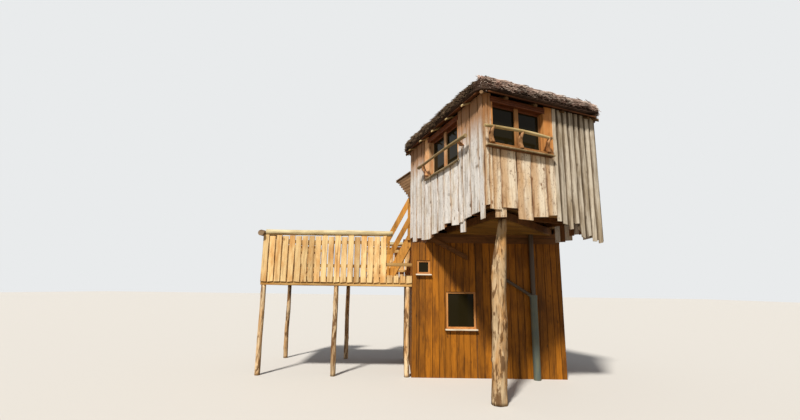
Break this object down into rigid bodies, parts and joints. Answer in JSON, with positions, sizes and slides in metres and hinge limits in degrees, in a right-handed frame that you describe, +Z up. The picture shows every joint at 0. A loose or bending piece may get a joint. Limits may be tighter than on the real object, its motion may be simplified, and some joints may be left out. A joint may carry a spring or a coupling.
{
  "type": "tree house",
  "caption": "Rustic timber tree house: a small ragged-board cabin with a thatched hip roof on a log post and a boarded lower room, with a railed deck and steep stair.",
  "frame": {"origin": "middle of the lower room's floor, on its underside at ground level", "axes": "+Z up, +X right along the lower front wall, +Y from the front towards the back"},
  "size_m": [7.2073, 5.1362, 6.04],
  "materials": {
    "weathered_boards": "weathered, rough sawn",
    "oiled_boards": "oiled, sawn",
    "fresh_timber": "planed, oiled",
    "natural_log": "debarked, knotty",
    "deck_timber": "sawn, light",
    "stair_timber": "oiled, orange",
    "beam_timber": "sawn, dark",
    "thatch": "brushwood thatch, ragged",
    "grey_pipe": "weathered grey plastic",
    "window_glass": "clear, dark behind"
  },
  "bodies": {
    "root": {"lower_floor": "oiled_boards", "lower_ceiling": "oiled_boards", "lower_front_wall": "oiled_boards", "lower_side_walls": "oiled_boards", "lower_back_wall": "oiled_boards", "lower_windows": "fresh_timber", "lower_glass": "window_glass", "lower_door": "oiled_boards", "downpipe": "grey_pipe", "wall_beams": "beam_timber", "joists": "beam_timber", "platform_rims": "beam_timber", "soffit": "oiled_boards", "brace": "beam_timber", "corner_post": "natural_log", "bearers": "beam_timber", "cabin_floor": "oiled_boards", "terrace_floor": "deck_timber", "left_wall": "weathered_boards", "front_wall": "weathered_boards", "right_wall": "weathered_boards", "back_wall": "weathered_boards", "front_window_frame": "fresh_timber", "front_window_glass": "window_glass", "left_window_frame": "fresh_timber", "left_window_glass": "window_glass", "front_guard_rail": "natural_log", "left_guard_rail": "natural_log", "upper_door": "oiled_boards", "roof_frame": "natural_log", "roof_boards": "oiled_boards", "thatch": "thatch", "door_canopy": "weathered_boards", "deck_posts": "natural_log", "deck_frame": "deck_timber", "deck_boards": "deck_timber", "deck_railing_front": "deck_timber", "deck_railing_left": "deck_timber", "deck_railing_back": "deck_timber", "deck_handrails": "natural_log", "terrace_railing": "deck_timber", "terrace_handrails": "natural_log", "stair_stringers": "stair_timber", "stair_treads": "stair_timber", "stair_handrail": "stair_timber"}
  },
  "joints": []
}
